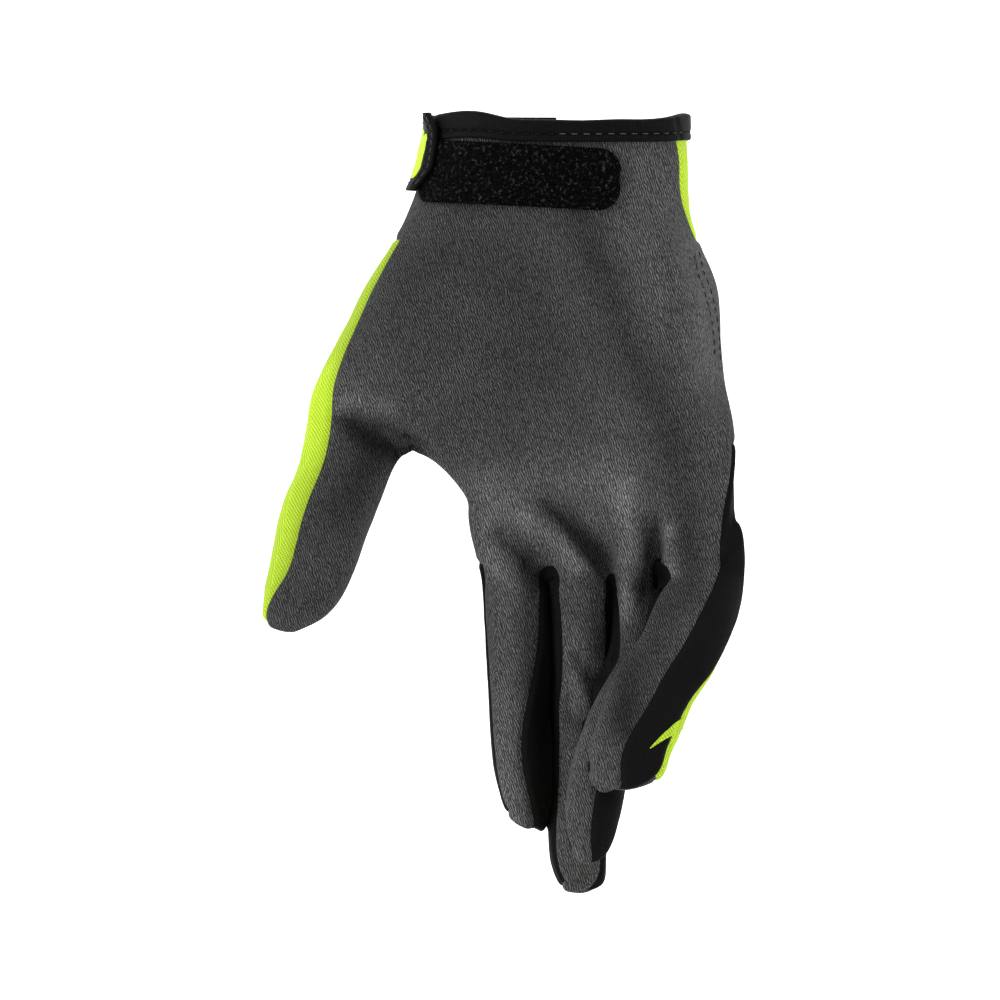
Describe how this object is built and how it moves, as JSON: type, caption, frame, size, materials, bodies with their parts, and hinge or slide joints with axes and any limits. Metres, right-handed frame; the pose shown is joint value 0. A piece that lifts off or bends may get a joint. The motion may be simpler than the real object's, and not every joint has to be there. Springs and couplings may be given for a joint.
{
  "type": "motocross glove",
  "caption": "Right-hand motocross glove in its worn form, open at the wrist, with a suede palm, a knitted back, stretch finger sides and a hook-and-loop wrist tab.",
  "frame": {"origin": "middle of the wrist opening, level with the lower parts of its edge", "axes": "+Z out of the opening, up the forearm, so the fingers point down; +Y from the palm to the back of the hand; the thumb is on the -X side"},
  "size_m": [0.1297, 0.0649, 0.2118],
  "materials": {
    "suede": "napped synthetic suede, dark grey",
    "knit": "twill knit, fluorescent yellow",
    "stretch": "smooth stretch fabric, black",
    "neoprene": "cloth-faced neoprene, black",
    "pile": "looped pile, black",
    "webbing": "tight woven strap, black"
  },
  "bodies": {
    "root": {"palm_panel": "suede", "thumb_front": "suede", "back_panel": "knit", "fourchette_index_middle": "stretch", "fourchette_middle_ring": "stretch", "fourchette_ring_little": "stretch", "index_side_gusset": "stretch", "little_side_gusset": "stretch", "cuff_binding": "neoprene", "loop_patch": "pile", "closure_tab": "webbing", "tab_edge_binding": "webbing"}
  },
  "joints": []
}
